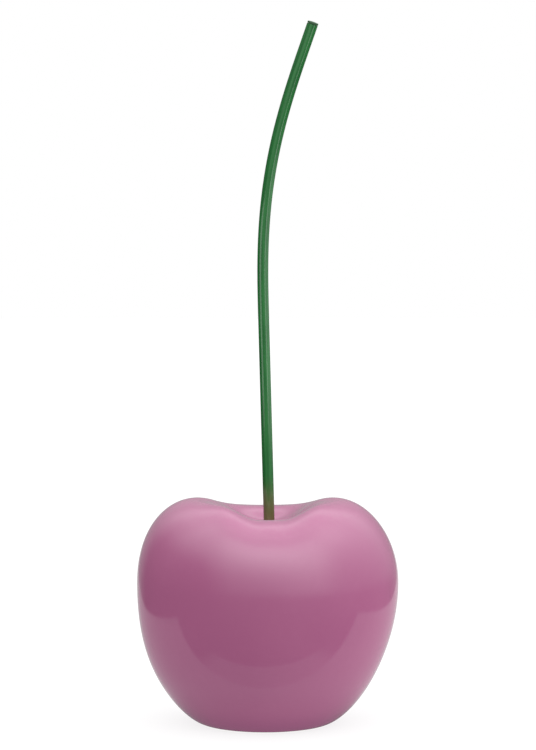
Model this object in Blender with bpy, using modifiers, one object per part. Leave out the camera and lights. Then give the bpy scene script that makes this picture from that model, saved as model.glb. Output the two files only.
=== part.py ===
"""Ornamental cherry: a hollow glazed body on a flat foot, with a bent tube for its stem.

Metres, +Z up, the front faces -Y. The origin lies on the surface that the cherry stands
on, under the middle of the body. Heights in BODY SIZES are measured from the body's foot.
"""
import math

import bpy
from mathutils import Matrix, Vector

# ---- body sizes
BODY_WIDTH = 0.284            # across the waist, left to right
BODY_DEPTH = 0.262            # across the waist, front to back
WAIST_HEIGHT = 0.153          # the widest level
CREST_HEIGHT = 0.245          # top of the two shoulders
CREST_WIDTH = 0.148           # from one shoulder's top to the other's
FOOT_WIDTH = 0.140            # outside of the flat foot ring
FOOT_RING = 0.024             # width of that ring
FOOT_RECESS = 0.003           # how far the base inside the ring stands up
VENT_DIAMETER = 0.036         # casting hole in the base
BODY_WALL = 0.007
DIMPLE_DEPTH = 0.037          # from the shoulders down to the stem's seat
SEAT_MARGIN = 0.0015          # flat ground left around the sleeve's lip
NECK_LENGTH = 0.034           # from that seat down to the floor of the blind neck
FRONT_DIP = 0.0136            # how far the rim sinks below the shoulders at the front
FRONT_DIP_SHIFT = 0.006       # how far to the right that dip lies
FRONT_DIP_FLAT = 0.012        # half the width of its bottom
FRONT_DIP_REACH = 0.056       # half its whole width
BACK_DIP = 0.0186             # how far the rim sinks at the back
WAIST_BOW = 0.0028            # how far the top and the foot stand to the left of the waist
BOW_REACH = 0.105             # height over which that shift builds up
NECK_OFFSET = 0.0015          # the stem stands this far to the right of the waist's middle

# ---- stem sizes
STEM_DIAMETER = 0.012
STEM_WALL = 0.001
STEM_LENGTH = 0.5575          # along its middle, from the seat to the tube's cut end
STEM_LEAN = math.radians(-1.55)   # just above the dimple, to the left
STEM_TURN = math.radians(20.7)    # how far it then bends to the right
LEAN_RUN = 0.030              # length over which it takes up its lean
BEND_START = 0.233            # along the stem, from the seat
BEND_END = 0.540

# ---- small parts
SLEEVE_WALL = 0.0024
SLEEVE_FLOOR = 0.003
SLEEVE_LIP = 0.0022           # how far the lip reaches past the hole
SLEEVE_LIP_HEIGHT = 0.0014
CAP_SHANK = 0.008
CAP_HEAD = 0.0018
CAP_CROWN = 0.0008
PAD_THICKNESS = 0.001
PAD_MARGIN = 0.003            # bare foot on each side of a pad
PAD_COUNT = 3
GAP = 0.0003                  # left between pieces that touch

# ---- shape factors of the body's outline, as shares of the span that each curve crosses
BELLY_FULLNESS = 0.64
FOOT_FLARE = 0.25
FLARE_ANGLE = math.radians(10)
SHOULDER_FULLNESS = 0.57
SHOULDER_ROUNDNESS = 0.55
RIM_ROUNDNESS = 0.45
BOWL_ROUNDNESS = 0.44
BOWL_SLOPE = math.radians(41)
FRONT_DIP_SIDES = 0.6         # the larger, the sooner that dip ends towards the sides
BACK_WIDENESS = 2.2           # the larger, the wider the back dip
DIP_FADING = 3.5              # the larger, the nearer to the rim a dip stays on the outside
BOWL_SHARE = 0.65             # part of the crest's radius in which the bowl turns round

# ---- facets
BODY_SEGMENTS = 44            # a multiple of four, so that the widest points are met
BOWL_STEPS = 7
SHOULDER_STEPS = 9
BELLY_STEPS = 12
STEM_STEPS = 34
STEM_STRAIGHT_STEPS = 3
STEM_BEVEL_RESOLUTION = 6
SMALL_SEGMENTS = 24
CROWN_ANGLES = (30, 60, 90)
MERGE_DISTANCE = 0.00002

# ---- worked-out sizes
WAIST_RADIUS = BODY_WIDTH / 2
CREST_RADIUS = CREST_WIDTH / 2
FOOT_RADIUS = FOOT_WIDTH / 2
DEPTH_RATIO = BODY_DEPTH / BODY_WIDTH
STEM_RADIUS = STEM_DIAMETER / 2
SLEEVE_INNER = STEM_RADIUS + GAP
SLEEVE_OUTER = SLEEVE_INNER + SLEEVE_WALL
NECK_BORE = SLEEVE_OUTER + GAP
SEAT_RADIUS = NECK_BORE + SLEEVE_LIP + SEAT_MARGIN
SEAT_HEIGHT = CREST_HEIGHT - DIMPLE_DEPTH
BODY_BASE = PAD_THICKNESS + GAP
PAD_RADIUS = FOOT_RING / 2 - PAD_MARGIN
PAD_CIRCLE = FOOT_RADIUS - FOOT_RING / 2
SEAT_POINT = Vector((NECK_OFFSET, 0, BODY_BASE + SEAT_HEIGHT))
STEM_SUNK = NECK_LENGTH - SLEEVE_FLOOR - GAP


def remove_everything():
    for item in list(bpy.data.objects):
        bpy.data.objects.remove(item, do_unlink=True)


def make_material(name, colour, roughness, metallic=0.0):
    material = bpy.data.materials.new(name)
    material.use_nodes = True
    shader = material.node_tree.nodes["Principled BSDF"]
    shader.inputs["Base Color"].default_value = (*colour, 1.0)
    shader.inputs["Roughness"].default_value = roughness
    shader.inputs["Metallic"].default_value = metallic
    return material


def add_object(name, mesh, collection, material=None, matrix=None):
    item = bpy.data.objects.new(name, mesh)
    collection.objects.link(item)
    if material is not None and not mesh.materials:
        mesh.materials.append(material)
    if matrix is not None:
        item.matrix_world = matrix
    return item


def shade_round(mesh, sharp_angle=math.radians(35)):
    mesh.shade_smooth()
    mesh.set_sharp_from_angle(angle=sharp_angle)


def evaluated_copy(item, name):
    """The object's mesh with its modifiers applied; the object itself is removed."""
    bpy.context.view_layer.update()
    graph = bpy.context.evaluated_depsgraph_get()
    mesh = bpy.data.meshes.new_from_object(item.evaluated_get(graph))
    mesh.name = name
    bpy.data.objects.remove(item, do_unlink=True)
    return mesh


def bezier(start, start_handle, end_handle, end, steps):
    """Points along a cubic curve, leaving out its first one."""
    points = []
    for step in range(1, steps + 1):
        t = step / steps
        s = 1 - t
        points.append(s**3 * start + 3 * s * s * t * start_handle
                      + 3 * s * t * t * end_handle + t**3 * end)
    return points


def smoothstep(low, high, value):
    t = min(max((value - low) / (high - low), 0.0), 1.0)
    return t * t * (3 - 2 * t)


def turned_mesh(name, profile, segments):
    """Turn a profile of (radius, height) about Z with a Screw modifier."""
    mesh = bpy.data.meshes.new(name)
    edges = [(i, i + 1) for i in range(len(profile) - 1)]
    mesh.from_pydata([(radius, 0, height) for radius, height in profile], edges, [])
    item = bpy.data.objects.new(name, mesh)
    bpy.context.scene.collection.objects.link(item)
    screw = item.modifiers.new("turn", "SCREW")
    screw.steps = segments
    screw.render_steps = segments
    screw.use_merge_vertices = True
    screw.merge_threshold = MERGE_DISTANCE
    return evaluated_copy(item, name)


# ---- the body

def body_profile():
    """The outside from the floor of the neck, over the rim and down to the casting hole."""
    seat = Vector((SEAT_RADIUS, SEAT_HEIGHT))
    crest = Vector((CREST_RADIUS, CREST_HEIGHT))
    waist = Vector((WAIST_RADIUS, WAIST_HEIGHT))
    foot = Vector((FOOT_RADIUS, 0))
    bowl = Vector((math.cos(BOWL_SLOPE), math.sin(BOWL_SLOPE)))
    flare = Vector((math.cos(FLARE_ANGLE), math.sin(FLARE_ANGLE)))
    ring_inner = FOOT_RADIUS - FOOT_RING
    floor = SEAT_HEIGHT - NECK_LENGTH - GAP

    points = [Vector((0, floor)), Vector((NECK_BORE, floor)), Vector((NECK_BORE, SEAT_HEIGHT)), seat]
    points += bezier(seat, seat + bowl * BOWL_ROUNDNESS * DIMPLE_DEPTH,
                     crest - Vector((RIM_ROUNDNESS * (CREST_RADIUS - SEAT_RADIUS), 0)), crest,
                     BOWL_STEPS)
    points += bezier(crest, crest + Vector((SHOULDER_ROUNDNESS * (WAIST_RADIUS - CREST_RADIUS), 0)),
                     waist + Vector((0, SHOULDER_FULLNESS * (CREST_HEIGHT - WAIST_HEIGHT))), waist,
                     SHOULDER_STEPS)
    points += bezier(waist, waist - Vector((0, BELLY_FULLNESS * WAIST_HEIGHT)),
                     foot + flare * FOOT_FLARE * (WAIST_RADIUS - FOOT_RADIUS), foot, BELLY_STEPS)
    points += [Vector((ring_inner, 0)), Vector((ring_inner, FOOT_RECESS)),
               Vector((VENT_DIAMETER / 2, FOOT_RECESS))]
    return points


def bow(height):
    """Sideways shift of the body's middle at a height above the foot."""
    return -WAIST_BOW * smoothstep(0, BOW_REACH, abs(height - WAIST_HEIGHT))


def rim_dip(radius, angle):
    """How far the rim sinks at a place round the body, 0 at its sides."""
    if math.sin(angle) < 0:
        aside = abs(radius * math.cos(angle) - FRONT_DIP_SHIFT)
        depth = FRONT_DIP * (1 - smoothstep(FRONT_DIP_FLAT, FRONT_DIP_REACH, aside))
        return depth * smoothstep(0, FRONT_DIP_SIDES, -math.sin(angle))
    return BACK_DIP * (1 - abs(math.cos(angle)) ** BACK_WIDENESS)


def cherry_point(radius, angle, height):
    """Where a point of the turned shape lies on the two-lobed cherry."""
    flesh = 1.0
    fading = (max(height - WAIST_HEIGHT, 0) / (CREST_HEIGHT - WAIST_HEIGHT)) ** DIP_FADING
    if radius < CREST_RADIUS and height > WAIST_HEIGHT / 2:
        flesh = smoothstep(SEAT_RADIUS, BOWL_SHARE * CREST_RADIUS, radius)
        fading = 1.0
    middle = NECK_OFFSET + (bow(height) - NECK_OFFSET) * flesh
    ratio = 1 + (DEPTH_RATIO - 1) * flesh
    sunk = rim_dip(radius, angle) * flesh * fading
    return Vector((middle + radius * math.cos(angle), ratio * radius * math.sin(angle), height - sunk))


def build_body(collection):
    mesh = turned_mesh("cherry_body", body_profile(), BODY_SEGMENTS)
    for vertex in mesh.vertices:
        radius = math.hypot(vertex.co.x, vertex.co.y)
        vertex.co = cherry_point(radius, math.atan2(vertex.co.y, vertex.co.x), vertex.co.z)
    shade_round(mesh)
    glaze = make_material("pink_glaze", (0.38, 0.13, 0.25), 0.1)
    body = add_object("cherry_body", mesh, collection, glaze, Matrix.Translation((0, 0, BODY_BASE)))
    wall = body.modifiers.new("wall", "SOLIDIFY")
    wall.thickness = BODY_WALL
    wall.offset = -1
    wall.use_even_offset = True
    return body


# ---- the stem and what it fits

def stem_heading(along):
    """The stem's angle from upright, towards +X, at a distance along it from the seat."""
    lean = STEM_LEAN * smoothstep(0, LEAN_RUN, along)
    return lean + STEM_TURN * smoothstep(BEND_START, BEND_END, along)


def stem_path():
    """The tube's middle line, from its lower end in the sleeve to its cut end."""
    point = SEAT_POINT - Vector((0, 0, STEM_SUNK))
    points = [point.copy()]
    for _ in range(STEM_STRAIGHT_STEPS):
        point = point + Vector((0, 0, STEM_SUNK / STEM_STRAIGHT_STEPS))
        points.append(point)
    step = STEM_LENGTH / STEM_STEPS
    for index in range(STEM_STEPS):
        angle = stem_heading((index + 0.5) * step)
        point = point + step * Vector((math.sin(angle), 0, math.cos(angle)))
        points.append(point)
    return points


def build_stem(collection):
    curve = bpy.data.curves.new("stem", "CURVE")
    curve.dimensions = "3D"
    curve.bevel_depth = STEM_RADIUS
    curve.bevel_resolution = STEM_BEVEL_RESOLUTION
    spline = curve.splines.new("POLY")
    path = stem_path()
    spline.points.add(len(path) - 1)
    for slot, point in zip(spline.points, path):
        slot.co = (*point, 1.0)
    guide = bpy.data.objects.new("stem_line", curve)
    bpy.context.scene.collection.objects.link(guide)
    mesh = evaluated_copy(guide, "stem")
    shade_round(mesh)
    paint = make_material("green_paint", (0.02, 0.13, 0.03), 0.15)
    stem = add_object("stem", mesh, collection, paint)
    wall = stem.modifiers.new("wall", "SOLIDIFY")
    wall.thickness = STEM_WALL
    wall.offset = -1
    return stem


def build_stem_cap(collection):
    shank = STEM_RADIUS - STEM_WALL - GAP
    head_top = GAP + CAP_HEAD
    crown = [(STEM_RADIUS * math.sin(angle), head_top + CAP_CROWN * math.cos(angle))
             for angle in map(math.radians, CROWN_ANGLES)]
    profile = [(0, head_top + CAP_CROWN), *crown, (STEM_RADIUS, GAP), (shank, GAP),
               (shank, -CAP_SHANK), (0, -CAP_SHANK)]
    mesh = turned_mesh("stem_cap", profile, SMALL_SEGMENTS)
    shade_round(mesh)
    tip = stem_path()[-1]
    turn = Matrix.Rotation(stem_heading(STEM_LENGTH), 4, "Y")
    plastic = make_material("cap_plastic", (0.012, 0.05, 0.016), 0.35)
    return add_object("stem_cap", mesh, collection, plastic, Matrix.Translation(tip) @ turn)


def build_sleeve(collection):
    lip_top = GAP + SLEEVE_LIP_HEIGHT
    lip_radius = NECK_BORE + SLEEVE_LIP
    floor_top = SLEEVE_FLOOR - NECK_LENGTH
    profile = [(0, floor_top), (SLEEVE_INNER, floor_top), (SLEEVE_INNER, lip_top), (lip_radius, lip_top),
               (lip_radius, GAP), (SLEEVE_OUTER, GAP), (SLEEVE_OUTER, -NECK_LENGTH), (0, -NECK_LENGTH)]
    mesh = turned_mesh("stem_sleeve", profile, SMALL_SEGMENTS)
    shade_round(mesh)
    rubber = make_material("sleeve_rubber", (0.03, 0.035, 0.03), 0.6)
    return add_object("stem_sleeve", mesh, collection, rubber, Matrix.Translation(SEAT_POINT))


def build_pads(collection):
    """Felt pads in the middle of the foot ring, the first one at the back."""
    mesh = turned_mesh("foot_pad", [(0, PAD_THICKNESS), (PAD_RADIUS, PAD_THICKNESS),
                                    (PAD_RADIUS, 0), (0, 0)], SMALL_SEGMENTS)
    shade_round(mesh)
    mesh.materials.append(make_material("pad_felt", (0.6, 0.58, 0.55), 0.95))
    for index in range(PAD_COUNT):
        angle = math.radians(90) + index * math.tau / PAD_COUNT
        centre = cherry_point(PAD_CIRCLE, angle, 0)
        add_object(f"foot_pad_{index + 1}", mesh, collection, matrix=Matrix.Translation(centre))


def main():
    remove_everything()
    collection = bpy.data.collections.new("ornamental_cherry")
    bpy.context.scene.collection.children.link(collection)
    build_body(collection)
    build_stem(collection)
    build_stem_cap(collection)
    build_sleeve(collection)
    build_pads(collection)


main()
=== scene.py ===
"""Ornamental cherry: its finished surfaces and the studio that it stands in.

Metres, +Z up, the front faces -Y, the origin on the floor under the middle of the body.
"""
import math

import bmesh
import bpy
from bpy.props import FloatProperty, FloatVectorProperty, IntProperty, PointerProperty
from bpy.types import Operator, Panel, PropertyGroup
from mathutils import Matrix, Vector
from mathutils.geometry import interpolate_bezier


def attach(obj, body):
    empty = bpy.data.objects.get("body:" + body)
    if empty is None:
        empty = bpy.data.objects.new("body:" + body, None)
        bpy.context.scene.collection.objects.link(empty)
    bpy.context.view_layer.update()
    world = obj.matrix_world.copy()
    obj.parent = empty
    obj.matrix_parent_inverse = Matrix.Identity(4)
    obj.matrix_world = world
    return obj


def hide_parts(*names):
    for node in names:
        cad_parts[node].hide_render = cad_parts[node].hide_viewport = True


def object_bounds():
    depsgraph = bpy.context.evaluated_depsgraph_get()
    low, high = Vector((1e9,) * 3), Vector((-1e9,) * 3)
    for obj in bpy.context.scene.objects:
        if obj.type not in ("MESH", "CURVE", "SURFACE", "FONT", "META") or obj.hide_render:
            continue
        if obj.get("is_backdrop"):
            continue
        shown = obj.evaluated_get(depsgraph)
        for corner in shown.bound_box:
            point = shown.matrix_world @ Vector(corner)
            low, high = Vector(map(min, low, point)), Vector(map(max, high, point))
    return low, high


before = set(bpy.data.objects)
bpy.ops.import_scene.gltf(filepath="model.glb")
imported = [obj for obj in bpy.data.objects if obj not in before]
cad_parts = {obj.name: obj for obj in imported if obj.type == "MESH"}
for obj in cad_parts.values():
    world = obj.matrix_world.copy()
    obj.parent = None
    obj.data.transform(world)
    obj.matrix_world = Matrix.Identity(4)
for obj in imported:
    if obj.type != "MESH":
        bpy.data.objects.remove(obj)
CAD_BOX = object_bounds()

bl_info = {
    "name": "Ornamental Cherry",
    "version": (1, 0, 0),
    "blender": (4, 5, 0),
    "location": "3D View > Sidebar > Cherry",
    "description": "Builds a glazed ornamental cherry with a painted stem, and a plain studio",
    "category": "Add Mesh",
}

UP = Vector((0, 0, 1))
MERGE_DISTANCE = 0.00002        # points closer than this are one
SHARP_ANGLE = math.radians(40)  # edges steeper than this stay sharp
CORNER_STEPS = 4                # facets around a rounded corner
CORNER_PULL = 0.55              # handle length, as a share, that makes nearly a quarter circle
DOME_STEPS = 12                 # facets across the plug's dome, from its middle to its rim
FIRST_PAD = math.radians(90)    # the first pad lies at the back


# ---- the values that a user would change

def length(name, default, description):
    return FloatProperty(name=name, description=description, default=default, unit="LENGTH", precision=4)


def share(name, default, description):
    return FloatProperty(name=name, description=description, default=default)


def angle(name, degrees, description):
    return FloatProperty(name=name, description=description, default=math.radians(degrees), unit="ROTATION")


def colour(name, default, description):
    return FloatVectorProperty(name=name, description=description, default=default, size=3,
                               min=0, max=1, subtype="COLOR")


def count(name, default, description):
    return IntProperty(name=name, description=description, default=default, min=3)


class CherryBodySizes(PropertyGroup):
    """The glazed body. Heights are measured from its foot."""
    width: length("Width", 0.284, "Across the waist, left to right")
    depth: length("Depth", 0.262, "Across the waist, front to back")
    waist_height: length("Waist Height", 0.153, "The widest level")
    crest_height: length("Crest Height", 0.245, "Top of the two shoulders")
    crest_width: length("Crest Width", 0.148, "From one shoulder's top to the other's")
    foot_width: length("Foot Width", 0.140, "Outside of the flat foot ring")
    foot_ring: length("Foot Ring", 0.024, "Width of the ring that it stands on")
    foot_recess: length("Foot Recess", 0.003, "How far the base inside the ring stands up")
    vent: length("Casting Hole", 0.036, "Diameter of the hole in the base")
    wall: length("Wall", 0.007, "Thickness of the cast wall")
    dimple: length("Dimple Depth", 0.037, "From the shoulders down to the stem's seat")
    seat_margin: length("Seat Margin", 0.0015, "Flat ground left around the sleeve's lip")
    neck: length("Neck Length", 0.034, "Depth of the blind hole for the stem")
    front_dip: length("Front Dip", 0.0136, "How far the rim sinks at the front")
    front_shift: length("Front Dip Shift", 0.006, "How far to the right that dip lies")
    front_flat: length("Front Dip Flat", 0.012, "Half the width of its bottom")
    front_reach: length("Front Dip Reach", 0.056, "Half its whole width")
    back_dip: length("Back Dip", 0.0186, "How far the rim sinks at the back")
    bow: length("Waist Bow", 0.0028, "How far the top and the foot stand to the left of the waist")
    bow_reach: length("Bow Reach", 0.105, "Height over which that shift builds up")
    neck_offset: length("Neck Offset", 0.0015, "How far the stem stands to the right")
    edge: length("Edge", 0.0012, "Rounding of the small edges")
    belly_fullness: share("Belly Fullness", 0.64, "Length of the waist's lower handle")
    foot_flare: share("Foot Flare", 0.25, "Length of the handle at the foot")
    flare_angle: angle("Flare Angle", 10, "Slope of the handle at the foot")
    shoulder_fullness: share("Shoulder Fullness", 0.57, "Length of the waist's upper handle")
    shoulder_roundness: share("Shoulder Roundness", 0.55, "Length of the crest's outer handle")
    rim_roundness: share("Rim Roundness", 0.45, "Length of the crest's inner handle")
    bowl_roundness: share("Bowl Roundness", 0.44, "Length of the handle at the seat")
    bowl_slope: angle("Bowl Slope", 41, "Slope of the dimple's side at the seat")
    front_sides: share("Front Dip Sides", 0.6, "The larger, the sooner that dip ends towards the sides")
    back_wideness: share("Back Wideness", 2.2, "The larger, the wider the back dip")
    dip_fading: share("Dip Fading", 3.5, "The larger, the nearer to the rim a dip stays on the outside")
    bowl_share: share("Bowl Share", 0.65, "Part of the crest's radius in which the bowl turns round")
    segments: count("Segments", 208, "Facets around the body")
    steps: count("Steps", 44, "Facets along each of the outline's long curves")


class CherryStemSizes(PropertyGroup):
    """The bent tube, measured along its middle from the seat."""
    diameter: length("Diameter", 0.012, "Outside of the tube")
    wall: length("Wall", 0.001, "Thickness of the tube")
    length: length("Length", 0.5575, "From the seat to the cut end")
    lean: angle("Lean", -1.55, "Lean just above the dimple")
    turn: angle("Turn", 20.7, "How far it then bends to the right")
    lean_run: length("Lean Run", 0.030, "Length over which it takes up its lean")
    bend_start: length("Bend Start", 0.233, "Where the bend begins")
    bend_end: length("Bend End", 0.540, "Where the bend ends")
    segments: count("Segments", 40, "Facets around the tube")
    steps: count("Steps", 150, "Facets along the tube")


class CherrySmallSizes(PropertyGroup):
    """The sleeve that grips the stem, the plug in its end and the pads."""
    gap: length("Gap", 0.0003, "Left between pieces that touch")
    sleeve_wall: length("Sleeve Wall", 0.0024, "Thickness of the rubber sleeve")
    sleeve_floor: length("Sleeve Floor", 0.003, "Thickness of its closed end")
    lip: length("Lip", 0.0022, "How far the lip reaches past the hole")
    lip_height: length("Lip Height", 0.0014, "Thickness of the lip")
    cap_shank: length("Cap Shank", 0.008, "Length of the plug inside the tube")
    cap_head: length("Cap Head", 0.0018, "Height of its straight rim")
    cap_crown: length("Cap Crown", 0.0008, "Height of its dome")
    pad_thickness: length("Pad Thickness", 0.001, "Thickness of the felt")
    pad_margin: length("Pad Margin", 0.003, "Bare foot on each side of a pad")
    edge: length("Edge", 0.0004, "Rounding of their edges")
    pads: count("Pads", 3, "Number of felt pads")
    segments: count("Segments", 64, "Facets around each small part")


class CherryColours(PropertyGroup):
    """Colours of the finishes, as linear values."""
    glaze: colour("Glaze", (0.308, 0.092, 0.188), "Main colour of the glaze")
    glaze_thin: colour("Thin Glaze", (0.322, 0.100, 0.198), "Where the glaze runs thin")
    # painted shade: this darker glaze colour stands for shade in the dimple and towards the foot
    glaze_painted_shade: colour("Shaded Glaze", (0.266, 0.076, 0.168), "Painted shade in the dimple and towards the foot")
    clay: colour("Clay", (0.52, 0.43, 0.36), "Bare fired clay")
    clay_stain: colour("Clay Stain", (0.36, 0.26, 0.20), "Darker grains and stains in the clay")
    paint: colour("Paint", (0.018, 0.125, 0.030), "Enamel on the stem")
    paint_shade: colour("Paint Shade", (0.012, 0.090, 0.022), "Streaks in that enamel")
    # the stem's colour turns to this brown towards its foot
    foot_brown: colour("Foot Brown", (0.110, 0.090, 0.030), "Brown towards the stem's foot")
    cap: colour("Cap", (0.010, 0.045, 0.014), "Plastic plug")
    rubber: colour("Rubber", (0.10, 0.035, 0.045), "Sleeve")
    felt: colour("Felt", (0.60, 0.58, 0.55), "Pads")
    fibre: colour("Fibre", (0.78, 0.77, 0.74), "Loose fibres on the pads")
    dust: colour("Dust", (0.55, 0.50, 0.48), "Settled dust")


class CherryStudio(PropertyGroup):
    """The floor, the light and the camera."""
    distance: length("Camera Distance", 5.0, "From the camera to the point that it looks at")
    pitch: angle("Camera Pitch", 7, "How far the camera looks down")
    lens: FloatProperty(name="Lens", description="Focal length in millimetres", default=222.0,
                        unit="CAMERA")
    aim: FloatVectorProperty(name="Aim", description="The point that the camera looks at",
                             default=(0.0003, 0.0, 0.3813), size=3, subtype="XYZ", unit="LENGTH")
    floor_size: length("Floor Size", 8.0, "Side of the floor")
    table_width: length("Table Width", 1.14, "Width of the bright table top that the glaze mirrors")
    table_front: length("Table Front", 0.210, "How far that table top reaches in front of the middle")
    table_lip: length("Table Lip", 0.149, "Where its dimmer front border begins")
    table_back: length("Table Back", 1.8, "How far it reaches behind")
    table_sunk: length("Table Sunk", 0.001, "How far it lies below the floor")
    table_left: share("Table Left", 0.60, "Brightness of the table top's left end in reflections")
    table_right: share("Table Right", 0.80, "Brightness of its right end")
    strip_distance: length("Strip Distance", 2.0, "From the stem to the upright lights")
    strip_left: share("Left Strip", 2.3, "Brightness of the left upright light")
    strip_right: share("Right Strip", 2.6, "Brightness of the right upright light")
    strip_side: share("Side Strip", 0.9, "Brightness of the wide one beside it")
    sky: share("Light", 1.0, "Strength of the soft light all round")


class CherrySettings(PropertyGroup):
    """Everything that the operators read."""
    body: PointerProperty(type=CherryBodySizes)
    stem: PointerProperty(type=CherryStemSizes)
    small: PointerProperty(type=CherrySmallSizes)
    colours: PointerProperty(type=CherryColours)
    studio: PointerProperty(type=CherryStudio)


def settings():
    return bpy.context.scene.cherry


# ---- sizes that follow from those values

def smoothstep(low, high, value):
    t = min(max((value - low) / (high - low), 0.0), 1.0)
    return t * t * (3 - 2 * t)


def sleeve_inner():
    return settings().stem.diameter / 2 + settings().small.gap


def sleeve_outer():
    return sleeve_inner() + settings().small.sleeve_wall


def neck_bore():
    return sleeve_outer() + settings().small.gap


def seat_radius():
    return neck_bore() + settings().small.lip + settings().body.seat_margin


def body_base():
    return settings().small.pad_thickness + settings().small.gap


def seat_point():
    body = settings().body
    return Vector((body.neck_offset, 0, body_base() + body.crest_height - body.dimple))


def stem_heading(along):
    """The stem's angle from upright, towards +X."""
    stem = settings().stem
    return (stem.lean * smoothstep(0, stem.lean_run, along)
            + stem.turn * smoothstep(stem.bend_start, stem.bend_end, along))


def cherry_shape():
    """A function that gives where a point of the turned shape lies on the two-lobed body."""
    body = settings().body
    crest_radius, crest, waist = body.crest_width / 2, body.crest_height, body.waist_height
    seat, bowl, base = seat_radius(), body.bowl_share * body.crest_width / 2, body_base()
    offset, bow_most, bow_reach, fade = body.neck_offset, body.bow, body.bow_reach, body.dip_fading
    front, shift, flat, reach = body.front_dip, body.front_shift, body.front_flat, body.front_reach
    sides, back, wide = body.front_sides, body.back_dip, body.back_wideness
    flatter = body.depth / body.width - 1

    def on_cherry(radius, around, height):
        flesh, fading = 1.0, (max(height - waist, 0) / (crest - waist)) ** fade
        if radius < crest_radius and height > waist / 2:  # the dimple, the neck and their inside
            flesh, fading = smoothstep(seat, bowl, radius), 1.0
        bow = -bow_most * smoothstep(0, bow_reach, abs(height - waist))
        middle = offset + (bow - offset) * flesh
        sine = math.sin(around)
        if sine < 0:
            dip = front * (1 - smoothstep(flat, reach, abs(radius * math.cos(around) - shift)))
            dip *= smoothstep(0, sides, -sine)
        else:
            dip = back * (1 - abs(math.cos(around)) ** wide)
        return Vector((middle + radius * math.cos(around), (1 + flatter * flesh) * radius * sine,
                       base + height - dip * flesh * fading))

    return on_cherry


# ---- mesh tools

def outline_point(radius, height):
    return Vector((radius, 0, height))


def curve(start, start_handle, end_handle, end, steps):
    """Points along a Bezier curve, without its first one."""
    return list(interpolate_bezier(start, start_handle, end_handle, end, steps + 1))[1:]


def rounded(points, corners, radius):
    """The outline with a small curve in place of each point whose index is in corners."""
    result = []
    for index, point in enumerate(points):
        if index not in corners:
            result.append(point)
            continue
        before, after = points[index - 1] - point, points[index + 1] - point
        start = point + before.normalized() * min(radius, before.length / 2)
        end = point + after.normalized() * min(radius, after.length / 2)
        result += [start, *curve(start, start.lerp(point, CORNER_PULL), end.lerp(point, CORNER_PULL),
                                 end, CORNER_STEPS)]
    return result


def spin_outline(mesh, points, segments, material=0):
    """Turn an outline about Z, and give the new faces a material index."""
    older = set(mesh.faces)
    verts = [mesh.verts.new(point) for point in points]
    edges = [mesh.edges.new(pair) for pair in zip(verts, verts[1:])]
    bmesh.ops.spin(mesh, geom=verts + edges, cent=(0, 0, 0), axis=UP, angle=math.tau,
                   steps=segments, use_merge=True)
    for face in mesh.faces:
        if face not in older:
            face.material_index = material


def close_up(mesh):
    """Merge seams and poles, and turn every face outwards."""
    bmesh.ops.remove_doubles(mesh, verts=mesh.verts, dist=MERGE_DISTANCE)
    bmesh.ops.dissolve_degenerate(mesh, edges=mesh.edges, dist=MERGE_DISTANCE / 4)
    bmesh.ops.recalc_face_normals(mesh, faces=mesh.faces)


def finish_piece(name, mesh, finishes, node):
    """Make the object with its finishes, hang it under the root, and hide the node's own part."""
    data = bpy.data.meshes.new(name)
    mesh.to_mesh(data)
    mesh.free()
    for finish in finishes:
        data.materials.append(bpy.data.materials[finish])
    data.shade_smooth()
    data.set_sharp_from_angle(angle=SHARP_ANGLE)
    piece = bpy.data.objects.new(name, data)
    bpy.context.scene.collection.objects.link(piece)
    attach(piece, "root")
    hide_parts(node)


# ---- node tools

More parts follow.
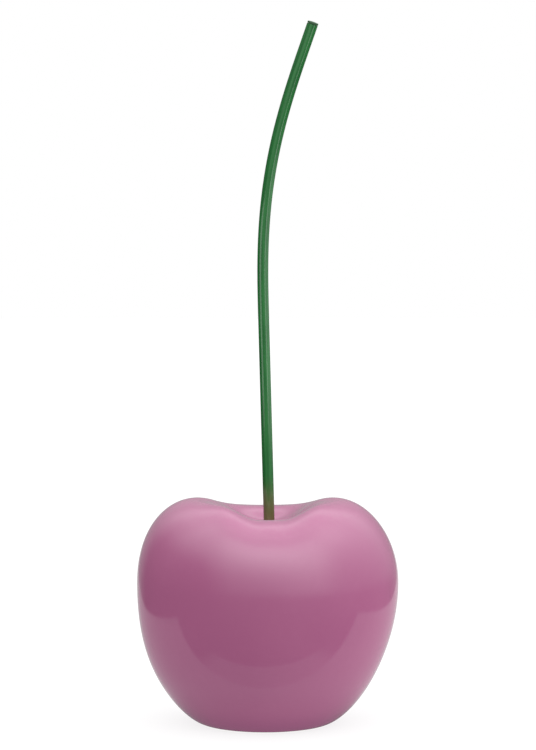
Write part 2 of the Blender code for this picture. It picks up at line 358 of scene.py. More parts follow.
class Nodes:
    """A short way to add nodes to a tree and to link them."""

    def __init__(self, tree):
        self.tree = tree
        self.column = 0

    def add(self, kind, inputs=(), **values):
        node = self.tree.nodes.new(kind)
        node.location = (-1600 + 180 * self.column, 0)
        self.column += 1
        for key, value in values.items():
            setattr(node, key, value)
        for key, value in dict(inputs).items():
            self.feed(node.inputs[key], value)
        return node

    def feed(self, socket, value):
        """Link a socket to another one, or set it. A colour of three values gets its alpha."""
        if isinstance(value, bpy.types.NodeSocket):
            self.tree.links.new(value, socket)
        elif hasattr(value, "__len__"):
            missing_alpha = len(socket.default_value) - len(value) == 1
            socket.default_value = [*value, 1.0] if missing_alpha else list(value)
        else:
            socket.default_value = value

    def maths(self, operation, first, second=0.0, clamp=False):
        node = self.add("ShaderNodeMath", {0: first, 1: second}, operation=operation, use_clamp=clamp)
        return node.outputs[0]

    def remap(self, value, low, high, to_low=0.0, to_high=1.0, smooth=True):
        node = self.add("ShaderNodeMapRange",
                        {"Value": value, "From Min": low, "From Max": high, "To Min": to_low,
                         "To Max": to_high},
                        interpolation_type="SMOOTHSTEP" if smooth else "LINEAR")
        return node.outputs["Result"]

    def blend(self, factor, first, second, mode="MIX"):
        node = self.add("ShaderNodeMix", {0: factor, 6: first, 7: second}, data_type="RGBA",
                        blend_type=mode)
        return node.outputs[2]

    def noise(self, vector, scale, detail, roughness=0.5):
        node = self.add("ShaderNodeTexNoise",
                        {"Vector": vector, "Scale": scale, "Detail": detail, "Roughness": roughness})
        return node.outputs["Fac"]

    def product(self, first, *others):
        """All the values multiplied, one after the other."""
        for other in others:
            first = self.maths("MULTIPLY", first, other)
        return first

    def bump(self, height, strength, distance):
        node = self.add("ShaderNodeBump", {"Height": height, "Strength": strength, "Distance": distance})
        return node.outputs[0]

    def split(self, vector):
        """The three parts of a vector."""
        parts = self.add("ShaderNodeSeparateXYZ", {0: vector}).outputs
        return parts["X"], parts["Y"], parts["Z"]

    def distance(self, vector):
        return self.add("ShaderNodeVectorMath", {0: vector}, operation="LENGTH").outputs["Value"]

    def grey(self, value):
        return self.add("ShaderNodeCombineColor", {0: value, 1: value, 2: value}).outputs[0]

    def object_place(self):
        return self.add("ShaderNodeTexCoord").outputs["Object"]

    def group(self, name, **inputs):
        return self.add("ShaderNodeGroup", {key.title(): value for key, value in inputs.items()},
                        node_tree=bpy.data.node_groups[name])

    def coat(self, shader, base, roughness, normal):
        """Give a shader what changes over the surface."""
        for label, value in (("Base Color", base), ("Roughness", roughness), ("Normal", normal)):
            self.feed(shader[label], value)


def new_group(name, inputs, outputs):
    """An empty shader node group with named sockets. Returns its node tools and its inputs."""
    tree = bpy.data.node_groups.new(name, "ShaderNodeTree")
    for label, kind, default in inputs:
        socket = tree.interface.new_socket(label, in_out="INPUT", socket_type=kind)
        if default is not None:
            socket.default_value = default
    for label, kind in outputs:
        tree.interface.new_socket(label, in_out="OUTPUT", socket_type=kind)
    nodes = Nodes(tree)
    return nodes, nodes.add("NodeGroupInput").outputs


def new_material(name):
    """A material with its Principled shader. Returns its node tools and the shader's inputs."""
    material = bpy.data.materials.new(name)
    material.use_nodes = True
    return Nodes(material.node_tree), material.node_tree.nodes["Principled BSDF"].inputs


def empty_tree(owner):
    """The node tools of a material or world that starts with no nodes."""
    owner.use_nodes = True
    owner.node_tree.nodes.clear()
    return Nodes(owner.node_tree)


NUMBER, TINT, PLACE = "NodeSocketFloat", "NodeSocketColor", "NodeSocketVector"


# ---- effects that several finishes share

def make_colour_drift():
    """Slow change between two colours, with a finer mottle over it."""
    nodes, given = new_group(
        "colour_drift",
        [("Place", PLACE, None), ("Main", TINT, None), ("Other", TINT, None),
         ("Scale", NUMBER, 9.0), ("Mottle", NUMBER, 0.3)],
        [("Color", TINT), ("Mask", NUMBER)])
    finer = nodes.maths("MULTIPLY", given["Scale"], 17.0)
    broad = nodes.remap(nodes.noise(given["Place"], given["Scale"], detail=2.0), low=0.36, high=0.66)
    fine = nodes.remap(nodes.noise(given["Place"], finer, detail=4.0), low=0.4, high=0.7)
    mottle = nodes.maths("MULTIPLY", nodes.maths("SUBTRACT", fine, 0.5), given["Mottle"])
    mask = nodes.maths("ADD", broad, mottle, clamp=True)
    nodes.add("NodeGroupOutput", {"Color": nodes.blend(mask, given["Main"], given["Other"]),
                                  "Mask": mask})


def make_orange_peel():
    """The slight waviness of a sprayed or fired coat, as a height."""
    nodes, given = new_group(
        "orange_peel",
        [("Place", PLACE, None), ("Scale", NUMBER, 120.0), ("Swell", NUMBER, 0.6)],
        [("Height", NUMBER)])
    coarser = nodes.maths("MULTIPLY", given["Scale"], 0.16)
    fine = nodes.noise(given["Place"], given["Scale"], detail=2.0, roughness=0.45)
    broad = nodes.noise(given["Place"], coarser, detail=1.0, roughness=0.4)
    swell = nodes.maths("MULTIPLY", broad, given["Swell"])
    nodes.add("NodeGroupOutput", {"Height": nodes.maths("ADD", fine, swell)})


def make_handling_marks():
    """Wiped smears and hairline marks that change the gloss."""
    nodes, given = new_group(
        "handling_marks",
        [("Place", PLACE, None), ("Scale", NUMBER, 14.0), ("Clean", NUMBER, 0.08),
         ("Smeared", NUMBER, 0.14)],
        [("Roughness", NUMBER)])
    hairline, faintness = 0.012, 0.35  # width and strength of the hairlines
    wiped = nodes.add("ShaderNodeMapping", {"Vector": given["Place"], "Scale": (1.0, 1.0, 0.35),
                                            "Rotation": (0.3, 0.5, 0.2)}).outputs[0]
    finer = nodes.maths("MULTIPLY", given["Scale"], 9.0)
    smear = nodes.remap(nodes.noise(wiped, given["Scale"], detail=5.0, roughness=0.6), low=0.48, high=0.72)
    hair = nodes.add("ShaderNodeTexNoise", {"Vector": wiped, "Scale": finer, "Detail": 1.0,
                                            "Distortion": 1.5}).outputs["Fac"]
    line = nodes.maths("ABSOLUTE", nodes.maths("SUBTRACT", hair, 0.5))
    mark = nodes.maths("MULTIPLY", nodes.remap(line, hairline, 0.0), faintness)
    mask = nodes.maths("MAXIMUM", smear, mark)
    value = nodes.remap(mask, 0.0, 1.0, given["Clean"], given["Smeared"], smooth=False)
    nodes.add("NodeGroupOutput", {"Roughness": value})


def make_settled_dust():
    """A thin film of dust on what faces up."""
    nodes, given = new_group(
        "settled_dust",
        [("Place", PLACE, None), ("Amount", NUMBER, 0.05), ("Scale", NUMBER, 60.0)],
        [("Mask", NUMBER)])
    facing_up = nodes.split(nodes.add("ShaderNodeNewGeometry").outputs["Normal"])[2]
    level = nodes.remap(facing_up, low=0.55, high=1.0)
    grain = nodes.noise(given["Place"], given["Scale"], detail=5.0, roughness=0.65)
    grain = nodes.remap(grain, low=0.35, high=0.75)
    nodes.add("NodeGroupOutput", {"Mask": nodes.product(level, grain, given["Amount"])})


# ---- finishes

def make_glaze():
    """Rose gloss glaze: thicker and thinner in places, darkened with painted shade in the dimple and
    towards the foot.
    """
    tints, body = settings().colours, settings().body
    nodes, shader = new_material("rose_glaze")
    foot_shade_height, foot_shade_share = 0.030, 0.8  # how high the painted shade at the foot reaches, and how dark it is
    dimple_shade_radius, dimple_shade_below, dimple_shade_share = 0.034, 0.02, 0.5  # the same for the painted shade in the dimple, as a radius and a depth
    place = nodes.object_place()
    height = nodes.split(place)[2]
    drift = nodes.group("colour_drift", place=place, main=tints.glaze, other=tints.glaze_thin,
                        scale=7.0, mottle=0.25)
    low = nodes.remap(height, body_base() + foot_shade_height, body_base())
    level = nodes.add("ShaderNodeVectorMath", {0: place, 1: (1, 1, 0)}, operation="MULTIPLY").outputs[0]
    dimple = nodes.product(nodes.remap(nodes.distance(level), dimple_shade_radius, seat_radius()),
                           nodes.remap(height, body.waist_height, body.crest_height - dimple_shade_below))
    # painted shade: the darker glaze colour laid in the dimple and towards the foot
    painted_shade = nodes.maths("MAXIMUM", nodes.maths("MULTIPLY", low, foot_shade_share),
                         nodes.maths("MULTIPLY", dimple, dimple_shade_share))
    coloured = nodes.blend(painted_shade, drift.outputs["Color"], tints.glaze_painted_shade)
    dust = nodes.group("settled_dust", place=place, amount=0.03, scale=90.0).outputs["Mask"]
    marks = nodes.group("handling_marks", place=place, scale=12.0, clean=0.10, smeared=0.14).outputs[0]
    peel = nodes.group("orange_peel", place=place, scale=95.0, swell=1.6).outputs["Height"]
    nodes.coat(shader, nodes.blend(dust, coloured, tints.dust), nodes.maths("ADD", marks, dust),
               nodes.bump(peel, strength=0.03, distance=0.0008))
    shader["IOR"].default_value = 1.5


def make_clay():
    """Bare fired clay: the inside and the ground foot ring."""
    tints = settings().colours
    nodes, shader = new_material("bare_clay")
    place = nodes.object_place()
    drift = nodes.group("colour_drift", place=place, main=tints.clay, other=tints.clay_stain,
                        scale=30.0, mottle=0.9)
    grog = nodes.add("ShaderNodeTexVoronoi", {"Vector": place, "Scale": 900.0}).outputs["Distance"]
    speck = nodes.maths("MULTIPLY", nodes.remap(grog, low=0.22, high=0.10), 0.5)
    height = nodes.maths("ADD", nodes.noise(place, scale=700.0, detail=5.0, roughness=0.7),
                         nodes.maths("MULTIPLY", grog, 0.4))
    nodes.coat(shader, nodes.blend(speck, drift.outputs["Color"], tints.clay_stain),
               nodes.remap(drift.outputs["Mask"], 0, 1, to_low=0.72, to_high=0.9),
               nodes.bump(height, strength=0.35, distance=0.0004))


def make_enamel():
    """Green gloss enamel on the tube, brushed along it and browned at its foot."""
    tints = settings().colours
    nodes, shader = new_material("stem_enamel")
    brown_top, brown_full = 0.068, 0.002  # where the brown begins, and where nothing else is left
    place = nodes.object_place()
    run = nodes.add("ShaderNodeAttribute", attribute_name="run").outputs["Vector"]
    streaked, brushed = (nodes.add("ShaderNodeMapping", {"Vector": run, "Scale": (1.0, 1.0, stretch)})
                         .outputs[0] for stretch in (9.0, 3.0))
    drift = nodes.group("colour_drift", place=streaked, main=tints.paint, other=tints.paint_shade,
                        scale=2.2, mottle=0.3)
    along = nodes.split(run)[2]
    # browner towards the stem's foot, over its lowest few centimetres
    foot_browned = nodes.blend(nodes.remap(along, brown_top, brown_full), drift.outputs["Color"], tints.foot_brown)
    dust = nodes.group("settled_dust", place=place, amount=0.08, scale=160.0).outputs["Mask"]
    marks = nodes.group("handling_marks", place=place, scale=40.0, clean=0.10, smeared=0.17).outputs[0]
    peel = nodes.group("orange_peel", place=place, scale=320.0, swell=0.5).outputs["Height"]
    height = nodes.maths("ADD", peel, nodes.noise(brushed, scale=5.0, detail=2.0))
    nodes.coat(shader, nodes.blend(dust, foot_browned, tints.dust), marks,
               nodes.bump(height, strength=0.10, distance=0.0002))


def make_moulded(name, tint, scale, clean, smeared, relief):
    """Moulded plastic or rubber with a fine grain."""
    nodes, shader = new_material(name)
    place = nodes.object_place()
    lighter = [min(1.0, 1.5 * part + 0.01) for part in tint]
    drift = nodes.group("colour_drift", place=place, main=tint, other=lighter, scale=scale, mottle=0.5)
    dust = nodes.group("settled_dust", place=place, amount=0.15, scale=220.0).outputs["Mask"]
    marks = nodes.group("handling_marks", place=place, scale=70.0, clean=clean, smeared=smeared).outputs[0]
    grain = nodes.group("orange_peel", place=place, scale=2600.0, swell=0.3).outputs["Height"]
    nodes.coat(shader, nodes.blend(dust, drift.outputs["Color"], settings().colours.dust), marks,
               nodes.bump(grain, strength=relief, distance=0.0001))


def make_felt():
    """Pressed wool felt, with loose fibres."""
    tints = settings().colours
    nodes, shader = new_material("pad_felt")
    place = nodes.object_place()
    darker = [0.8 * part for part in tints.felt]
    drift = nodes.group("colour_drift", place=place, main=tints.felt, other=darker, scale=60.0, mottle=1.0)
    swirl = nodes.add("ShaderNodeTexNoise", {"Vector": place, "Scale": 900.0, "Detail": 6.0,
                                             "Roughness": 0.75, "Distortion": 2.5}).outputs["Fac"]
    fibre = nodes.maths("MULTIPLY", nodes.remap(swirl, low=0.52, high=0.66), 0.6)
    nodes.coat(shader, nodes.blend(fibre, drift.outputs["Color"], tints.fibre),
               nodes.remap(swirl, 0, 1, to_low=0.85, to_high=1.0),
               nodes.bump(swirl, strength=0.7, distance=0.0004))
    shader["Sheen Weight"].default_value = 0.3


def stem_stations():
    """Places along the tube's middle, from its lower end, each with the distance from the seat."""
    stem = settings().stem
    sunk = settings().body.neck - settings().small.sleeve_floor - settings().small.gap
    point, stride = seat_point(), stem.length / stem.steps
    stations = [(Matrix.Translation(point - sunk * part * UP), -sunk * part)
                for part in (1, 2 / 3, 1 / 3, 0)]
    for index in range(stem.steps):
        middle, heading = (stem_heading((index + ahead) * stride) for ahead in (0.5, 1))
        point = point + stride * Vector((math.sin(middle), 0, math.cos(middle)))
        place = Matrix.Translation(point) @ Matrix.Rotation(heading, 4, "Y")
        stations.append((place, (index + 1) * stride))
    return stations


# ---- operators for the pieces

class CHERRY_OT_finishes(Operator):
    """Make the shared effects and every finish"""
    bl_idname = "cherry.finishes"
    bl_label = "Finishes"

    def execute(self, context):
        tints = settings().colours
        make_colour_drift()
        make_orange_peel()
        make_handling_marks()
        make_settled_dust()
        make_glaze()
        make_clay()
        make_enamel()
        make_moulded("cap_plastic", tints.cap, scale=90.0, clean=0.32, smeared=0.42, relief=0.25)
        make_moulded("sleeve_rubber", tints.rubber, scale=120.0, clean=0.55, smeared=0.7, relief=0.4)
        make_felt()
        return {"FINISHED"}


class CHERRY_OT_body(Operator):
    """Turn the cast body and push it into its two-lobed shape"""
    bl_idname = "cherry.body"
    bl_label = "Glazed Body"

    def outside(self):
        """Outline from the neck's floor, over the rim and down to the casting hole."""
        body = settings().body
        bore, seat_height = neck_bore(), body.crest_height - body.dimple
        floor = seat_height - body.neck - settings().small.gap
        seat = outline_point(seat_radius(), seat_height)
        crest = outline_point(body.crest_width / 2, body.crest_height)
        waist = outline_point(body.width / 2, body.waist_height)
        foot = outline_point(body.foot_width / 2, 0)
        ring = foot.x - body.foot_ring
        bowl = Vector((math.cos(body.bowl_slope), 0, math.sin(body.bowl_slope)))
        flare = Vector((math.cos(body.flare_angle), 0, math.sin(body.flare_angle)))
        neck = rounded([outline_point(0, floor), outline_point(bore, floor),
                        outline_point(bore, seat_height), seat], (2,), body.edge / 2)
        base = rounded([foot, outline_point(ring, 0),
                        outline_point(ring - body.foot_recess / 2, body.foot_recess),
                        outline_point(body.vent / 2, body.foot_recess)], (1, 2), body.edge)
        return [
            *neck,
            *curve(seat, seat + bowl * body.bowl_roundness * body.dimple,
                   crest - Vector((body.rim_roundness * (crest.x - seat.x), 0, 0)), crest, body.steps // 2),
            *curve(crest, crest + Vector((body.shoulder_roundness * (waist.x - crest.x), 0, 0)),
                   waist + Vector((0, 0, body.shoulder_fullness * (crest.z - waist.z))), waist, body.steps),
            *curve(waist, waist - Vector((0, 0, body.belly_fullness * waist.z)),
                   foot + flare * body.foot_flare * (waist.x - foot.x), foot, body.steps),
            *base[1:],
        ]

    def inside(self, outside):
        """The same outline one wall further in, without the loops that tight corners make."""
        wall = settings().body.wall
        closest = 0.98 * wall
        moved = []
        for before, point, after in zip(outside, outside[1:], outside[2:]):
            along = (after - before).normalized()
            shifted = point + wall * Vector((along.z, 0, -along.x))
            if shifted.x > 0 and min((shifted - other).length for other in outside) > closest:
                moved.append(shifted)
        floor, vent = outside[0], outside[-1]
        return [vent, outline_point(vent.x, vent.z + wall),
                *reversed(moved[1:]), outline_point(0, floor.z - wall)]

    def execute(self, context):
        body = settings().body
        glaze, clay = range(2)
        ground, level = body.edge / 20, 0.99  # the faces that it stands on are bare clay
        mesh = bmesh.new()
        outside = self.outside()
        spin_outline(mesh, outside, body.segments, glaze)
        spin_outline(mesh, self.inside(outside), body.segments, clay)
        close_up(mesh)
        for face in mesh.faces:
            if face.calc_center_median().z < ground and abs(face.normal.z) > level:
                face.material_index = clay
        on_cherry = cherry_shape()
        for vert in mesh.verts:
            x, y, height = vert.co
            vert.co = on_cherry(math.hypot(x, y), math.atan2(y, x), height)
        finish_piece("cherry_shell", mesh, ["rose_glaze", "bare_clay"], "cherry_body")
        return {"FINISHED"}


class CHERRY_OT_stem(Operator):
    """Draw the tube out ring by ring along its bend"""
    bl_idname = "cherry.stem"
    bl_label = "Stem"

    def execute(self, context):
        stem = settings().stem
        radius, inner, chamfer = stem.diameter / 2, stem.diameter / 2 - stem.wall, stem.wall / 6
        stations = stem_stations()
        place, along = stations[-1]
        stations[-1] = (place @ Matrix.Translation(-chamfer * UP), along)
        route = [(*station, radius) for station in stations]
        route += [(place, along, radius - chamfer), (place, along, inner)]
        route += [(*station, inner) for station in reversed(stations[:-1])] + [(*stations[0], radius)]
        mesh = bmesh.new()
        run = mesh.verts.layers.float_vector.new("run")
        bmesh.ops.create_circle(mesh, segments=stem.segments, radius=1)
        for vert in mesh.verts:
            vert[run] = (vert.co.x, vert.co.y, stations[0][1])
        matrix = stations[0][0] @ Matrix.Scale(radius, 4)
        bmesh.ops.transform(mesh, verts=mesh.verts, matrix=matrix)
        ring = mesh.edges[:]
        for place, along, width in route[1:]:
            grown = bmesh.ops.extrude_edge_only(mesh, edges=ring)["geom"]
            verts = [item for item in grown if isinstance(item, bmesh.types.BMVert)]
            ring = [item for item in grown if isinstance(item, bmesh.types.BMEdge)]
            ahead = place @ Matrix.Scale(width, 4)
            bmesh.ops.transform(mesh, verts=verts, matrix=ahead @ matrix.inverted())
            for vert in verts:
                vert[run] = (vert[run].x, vert[run].y, along)
            matrix = ahead
        close_up(mesh)
        finish_piece("stem_tube", mesh, ["stem_enamel"], "stem")
        return {"FINISHED"}


class CHERRY_OT_cap(Operator):
    """Turn the plastic plug in the stem's end"""
    bl_idname = "cherry.cap"
    bl_label = "Stem Cap"

    def execute(self, context):
        small, stem = settings().small, settings().stem
        radius = stem.diameter / 2
        shank = radius - stem.wall - small.gap
        top = small.gap + small.cap_head
        edge = outline_point(radius, top)
        dome = outline_point(0, top + small.cap_crown)
        points = [dome, *curve(dome, dome + Vector((radius * CORNER_PULL, 0, 0)),
                               edge + Vector((0, 0, small.cap_crown * CORNER_PULL)), edge, DOME_STEPS),
                  outline_point(radius, small.gap), outline_point(shank, small.gap),
                  outline_point(shank, -small.cap_shank), outline_point(0, -small.cap_shank)]
        head_edge, tip_edge = len(points) - 4, len(points) - 2
        mesh = bmesh.new()
        spin_outline(mesh, rounded(points, (head_edge, tip_edge), small.edge), small.segments)
        close_up(mesh)
        bmesh.ops.transform(mesh, verts=mesh.verts, matrix=stem_stations()[-1][0])
        finish_piece("stem_plug", mesh, ["cap_plastic"], "stem_cap")
        return {"FINISHED"}


class CHERRY_OT_sleeve(Operator):
    """Turn the rubber sleeve that grips the stem in the neck"""
    bl_idname = "cherry.sleeve"
    bl_label = "Stem Sleeve"

    def execute(self, context):
        small, body = settings().small, settings().body
        inner, outer = sleeve_inner(), sleeve_outer()
        lip_radius, lip_top = neck_bore() + small.lip, small.gap + small.lip_height
        floor = small.sleeve_floor - body.neck
        points = [outline_point(0, floor), outline_point(inner, floor), outline_point(inner, lip_top),
                  outline_point(lip_radius, lip_top), outline_point(lip_radius, small.gap),
                  outline_point(outer, small.gap), outline_point(outer, -body.neck),
                  outline_point(0, -body.neck)]
        mesh = bmesh.new()
        spin_outline(mesh, rounded(points, (2, 3, 6), small.edge), small.segments)
        close_up(mesh)
        bmesh.ops.translate(mesh, verts=mesh.verts, vec=seat_point())
        finish_piece("neck_sleeve", mesh, ["sleeve_rubber"], "stem_sleeve")
        return {"FINISHED"}


class CHERRY_OT_pads(Operator):
    """Turn the felt pads under the foot ring, the first one at the back"""
    bl_idname = "cherry.pads"
    bl_label = "Felt Pads"

    def execute(self, context):
        small, body = settings().small, settings().body
        radius = body.foot_ring / 2 - small.pad_margin
        circle = (body.foot_width - body.foot_ring) / 2
        points = [outline_point(0, small.pad_thickness), outline_point(radius, small.pad_thickness),
                  outline_point(radius, 0), outline_point(0, 0)]
        for index in range(small.pads):
            around = FIRST_PAD + index * math.tau / small.pads
            centre = cherry_shape()(circle, around, 0)
            mesh = bmesh.new()
            spin_outline(mesh, rounded(points, (1, 2), small.edge), small.segments)
            close_up(mesh)
            bmesh.ops.translate(mesh, verts=mesh.verts, vec=(centre.x, centre.y, 0))
            finish_piece(f"felt_pad_{index + 1}", mesh, ["pad_felt"], f"foot_pad_{index + 1}")
        return {"FINISHED"}


# ---- the studio

# The light is fitted, not physical. Each of these is a smooth step, as (start, end,
# value at the start, value at the end), or from 0 to 1 where only two numbers are given.
# On the floor and the table top, in metres from the middle:
BOUNCE_ACROSS = (-0.30, 0.30, 0.90, 1.18)
BOUNCE_BESIDE_BODY = (0.13, 0.20, 1.0, 1.7)
BOUNCE_FAR_OUT = (0.30, 0.90, 1.0, 0.30)
TABLE_BORDER = (0.22, 0.13, 0.05, 0.68)
TABLE_NEAR_FOOT = (0.06, 0.16, 0.25, 1.0)
# In the light all round, along the direction's X, Y or Z:
RIGHT_RISE = (-0.78, -0.48, 0.0, 0.30)  # the right light's share is the sum of two parts
RIGHT_SHARE = (-0.6, 1.0, 0.0, 0.70)    # and this one is a straight line
FRONT_GAIN = (-0.2, -0.85, 1.0, 1.45)
BACK_SHARE = (0.65, 0.95)
DARK_LEFT, DARK_LOW = (-0.70, -0.82), (0.55, 0.25)  # it is darker low on the left
GLOSS_UPWARDS, GLOSS_OVERHEAD = (-0.22, -0.04), (1.0, 0.80, 0.5, 1.0)
GLOSS_FRONT, GLOSS_SIDE = (0.45, -0.10), (0.95, 0.65)  # where gloss sees it brighter

FLOOR_TONES = (0.3, 0.7, 0.90, 0.93)  # from the noise's range to the paper's greys
FLOOR_SEEN, FLOOR_MATT = 0.985, 0.16  # brightness to the camera, and the part that takes shadows
FRONT_BLUR, FRONT_BOUNCE, FLOOR_BOUNCE = 0.04, 0.55, 0.95  # the floor's bounce before and behind its line
LIP_BLUR = 0.002                      # half the width of the table border's soft edge
DARK_DEPTH = 0.5                      # how much of BRIGHTEST is taken off there
GLOSS_GAIN = 0.52                     # how much brighter gloss sees the light in front

# Brightness of the light all round, as (height of the direction, brightness)
LEFT_LIGHT = ((-1.0, 0.05), (-0.12, 0.02), (0.06, 0.12), (0.22, 0.26), (0.45, 0.80), (0.70, 1.66),
              (0.85, 2.12), (1.0, 2.26))
RIGHT_LIGHT = ((-1.0, 0.05), (-0.40, 0.05), (-0.12, 0.26), (0.0, 0.68), (0.12, 0.90),
               (0.30, 1.32), (0.50, 1.92), (0.70, 2.36), (1.0, 2.26))
BACK_LIGHT = ((-1.0, 0.10), (-0.30, 0.30), (-0.12, 0.40), (0.12, 0.45), (0.30, 0.60), (1.0, 0.70))
BRIGHTEST = 4.0  # what a ramp's white stands for

# The upright lights, as (name, heading in degrees to the right, width, lowest point, highest point)
STRIPS = (("strip_left", -54, 1.3, 0.02, 0.56), ("strip_right", 47, 0.7, 0.10, 1.2),
          ("strip_side", 88, 2.2, 0.06, 1.2))
SENSOR_WIDTH, FARTHEST_SEEN = 36, 100  # of the camera, in millimetres and in metres


def make_floor_paper(front):
    """White backdrop paper with faint shadows.

    The light it throws on the body is uneven: weak in front of a line and far out, strong beside the body.
    """
    material = bpy.data.materials.new("floor_paper")
    nodes = empty_tree(material)
    place = nodes.object_place()
    across, depth, _ = nodes.split(place)
    aside = nodes.maths("ABSOLUTE", across)
    bounce = nodes.product(
        nodes.remap(depth, -front - FRONT_BLUR, -front + FRONT_BLUR, FRONT_BOUNCE, FLOOR_BOUNCE),
        nodes.remap(across, *BOUNCE_ACROSS), nodes.remap(aside, *BOUNCE_BESIDE_BODY),
        nodes.remap(aside, *BOUNCE_FAR_OUT))
    seen = nodes.add("ShaderNodeLightPath").outputs["Is Camera Ray"]
    lit = nodes.add("ShaderNodeEmission",
                    {"Strength": nodes.remap(seen, 0, 1, bounce, FLOOR_SEEN, smooth=False)})
    tone = nodes.remap(nodes.noise(place, scale=3.0, detail=4.0), *FLOOR_TONES)
    paper = nodes.add("ShaderNodeBsdfDiffuse", {"Color": nodes.grey(tone)})
    mixed = nodes.add("ShaderNodeMixShader", {0: nodes.maths("MULTIPLY", seen, FLOOR_MATT),
                                              1: lit.outputs[0], 2: paper.outputs[0]})
    nodes.add("ShaderNodeOutputMaterial", {"Surface": mixed.outputs[0]})
    return material


def make_table_glow(left, right, width, lip):
    """The lit table top as the gloss sees it, shaded close to the foot and along its front border."""
    material = bpy.data.materials.new("table_glow")
    nodes = empty_tree(material)
    place = nodes.object_place()
    across, depth, _ = nodes.split(place)
    border = nodes.remap(nodes.maths("ABSOLUTE", across), *TABLE_BORDER)
    glow = nodes.product(
        nodes.remap(nodes.distance(place), *TABLE_NEAR_FOOT),
        nodes.remap(across, -width / 2, width / 2, left, right, smooth=False),
        nodes.remap(depth, -lip - LIP_BLUR, -lip + LIP_BLUR, border, 1.0))
    light = nodes.add("ShaderNodeEmission", {"Strength": glow})
    nodes.add("ShaderNodeOutputMaterial", {"Surface": light.outputs[0]})
    return material


def flat_card(name, width, depth, centre, material):
    """A level rectangle that belongs to the studio."""
    mesh = bmesh.new()
    bmesh.ops.create_grid(mesh, x_segments=1, y_segments=1, size=0.5)
    bmesh.ops.scale(mesh, verts=mesh.verts, vec=(width, depth, 1))
    bmesh.ops.translate(mesh, verts=mesh.verts, vec=centre)
    data = bpy.data.meshes.new(name)
    mesh.to_mesh(data)
    mesh.free()
    data.materials.append(material)
    card = bpy.data.objects.new(name, data)
    bpy.context.scene.collection.objects.link(card)
    card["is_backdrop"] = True
    return card


def light_ramp(nodes, height, levels):
    """Brightness by the height of the direction."""
    ramp = nodes.add("ShaderNodeValToRGB", {"Fac": nodes.remap(height, -1, 1, smooth=False)})
    elements = ramp.color_ramp.elements
    while len(elements) < len(levels):
        elements.new(0.5)
    for element, (level, value) in zip(elements, levels):
        element.position = (level + 1) / 2
        element.color = (value / BRIGHTEST, value / BRIGHTEST, value / BRIGHTEST, 1)
    return ramp.outputs["Color"]


def make_world(strength):
    """White to the camera, and to everything else a soft light, brightest overhead and on the right.

    Gloss sees it brighter in front than matt surfaces do.
    """
    world = bpy.data.worlds.new("studio_light")
    bpy.context.scene.world = world
    nodes = empty_tree(world)
    side, depth, height = nodes.split(nodes.add("ShaderNodeTexCoord").outputs["Generated"])
    left, right, back = (light_ramp(nodes, height, levels)
                         for levels in (LEFT_LIGHT, RIGHT_LIGHT, BACK_LIGHT))
    share_right = nodes.maths("ADD", nodes.remap(side, *RIGHT_RISE),
                              nodes.remap(side, *RIGHT_SHARE, smooth=False))
    around = nodes.blend(share_right, left, right)
    around = nodes.blend(1.0, around, nodes.grey(nodes.remap(depth, *FRONT_GAIN)), "MULTIPLY")
    around = nodes.blend(nodes.remap(depth, *BACK_SHARE), around, back)
    dark = nodes.product(nodes.remap(side, *DARK_LEFT), nodes.remap(height, *DARK_LOW),
                         DARK_DEPTH * BRIGHTEST)
    kept = nodes.maths("SUBTRACT", BRIGHTEST * strength, dark)
    sees = nodes.add("ShaderNodeLightPath").outputs
    glossy = nodes.product(
        nodes.remap(height, *GLOSS_UPWARDS), nodes.remap(height, *GLOSS_OVERHEAD),
        nodes.remap(depth, *GLOSS_FRONT), nodes.remap(side, *GLOSS_SIDE), sees["Is Glossy Ray"],
        GLOSS_GAIN)
    kept = nodes.product(kept, nodes.maths("ADD", glossy, 1.0))
    soft = nodes.add("ShaderNodeBackground", {"Color": around, "Strength": kept})
    white = nodes.add("ShaderNodeBackground", {"Color": (1, 1, 1), "Strength": 1.0})
    mixed = nodes.add("ShaderNodeMixShader",
                      {0: sees["Is Camera Ray"], 1: soft.outputs[0], 2: white.outputs[0]})
    nodes.add("ShaderNodeOutputWorld", {"Surface": mixed.outputs[0]})


def strip_light(name, heading, distance, width, low, high, brightness, receivers):
    """An upright soft light that only some pieces catch."""
    data = bpy.data.lights.new(name, "AREA")
    data.shape = "RECTANGLE"
    data.size, data.size_y = width, high - low
    data.energy = brightness * math.pi * width * (high - low)
    lamp = bpy.data.objects.new(name, data)
    lamp.location = (distance * math.sin(heading), -distance * math.cos(heading), (low + high) / 2)
    lamp.rotation_euler = (math.radians(90), 0, heading)
    lamp.visible_camera = False
    lamp.light_linking.receiver_collection = receivers
    bpy.context.scene.collection.objects.link(lamp)


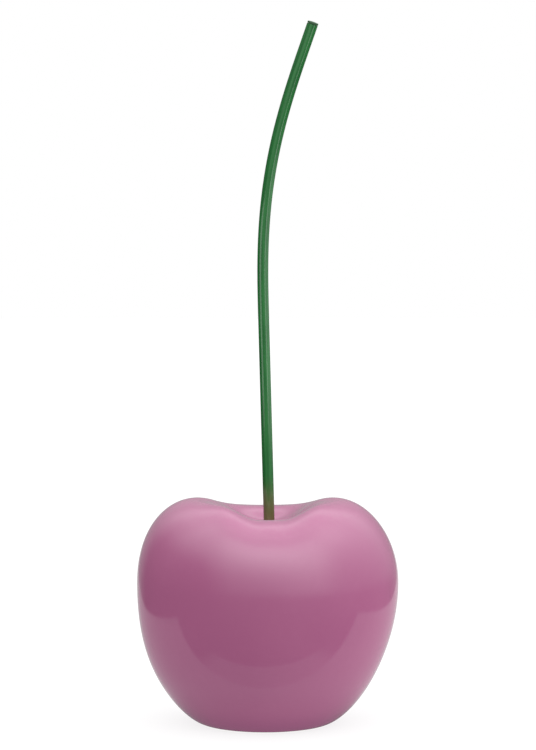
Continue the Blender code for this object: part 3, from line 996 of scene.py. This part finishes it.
class CHERRY_OT_stage(Operator):
    """Set up the floor, the soft light and the camera"""
    bl_idname = "cherry.stage"
    bl_label = "Studio"

    def execute(self, context):
        studio, scene = settings().studio, context.scene
        floor = flat_card("floor", studio.floor_size, studio.floor_size, (0, 0, 0),
                          make_floor_paper(studio.table_front))
        floor.visible_glossy = False
        depth = studio.table_front + studio.table_back
        table = flat_card("table_mirror", studio.table_width, depth,
                          (0, (studio.table_back - studio.table_front) / 2, -studio.table_sunk),
                          make_table_glow(studio.table_left, studio.table_right, studio.table_width,
                                          studio.table_lip))
        table.visible_camera = table.visible_diffuse = table.visible_shadow = False
        make_world(studio.sky)
        bpy.data.objects["stem_tube"].visible_glossy = False
        receivers = bpy.data.collections.new("catch_strips")
        for piece in ("stem_tube", "stem_plug"):
            receivers.objects.link(bpy.data.objects[piece])
        for name, heading, width, low, high in STRIPS:
            strip_light(name, math.radians(heading), studio.strip_distance, width, low, high,
                        getattr(studio, name), receivers)
        camera = bpy.data.objects.new("camera", bpy.data.cameras.new("camera"))
        camera.data.lens = studio.lens
        camera.data.sensor_width = SENSOR_WIDTH
        camera.data.clip_end = FARTHEST_SEEN
        back = Vector((0, -math.cos(studio.pitch), math.sin(studio.pitch)))
        camera.location = Vector(studio.aim) + studio.distance * back
        camera.rotation_euler = (math.radians(90) - studio.pitch, 0, 0)
        scene.collection.objects.link(camera)
        scene.camera = camera
        scene.view_settings.view_transform = "Standard"
        return {"FINISHED"}


class CHERRY_PT_build(Panel):
    """Buttons for the pieces and the studio"""
    bl_idname = "CHERRY_PT_build"
    bl_label = "Ornamental Cherry"
    bl_space_type = "VIEW_3D"
    bl_region_type = "UI"
    bl_category = "Cherry"

    def draw(self, context):
        column = self.layout.column(align=True)
        for step in STEPS:
            column.operator(step.bl_idname)


STEPS = (CHERRY_OT_finishes, CHERRY_OT_body, CHERRY_OT_stem, CHERRY_OT_cap, CHERRY_OT_sleeve,
         CHERRY_OT_pads, CHERRY_OT_stage)
CLASSES = (CherryBodySizes, CherryStemSizes, CherrySmallSizes, CherryColours, CherryStudio,
           CherrySettings, *STEPS, CHERRY_PT_build)


def register():
    for each in CLASSES:
        bpy.utils.register_class(each)
    bpy.types.Scene.cherry = PointerProperty(type=CherrySettings)


def unregister():
    del bpy.types.Scene.cherry
    for each in reversed(CLASSES):
        bpy.utils.unregister_class(each)


def corners(box):
    return [[float(value) for value in corner] for corner in box]


def main():
    register()
    bpy.ops.cherry.finishes()
    bpy.ops.cherry.body()
    bpy.ops.cherry.stem()
    bpy.ops.cherry.cap()
    bpy.ops.cherry.sleeve()
    bpy.ops.cherry.pads()
    bpy.ops.cherry.stage()
    {"cad": corners(CAD_BOX), "visual": corners(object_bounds())}


if __name__ == "__main__":
    main()
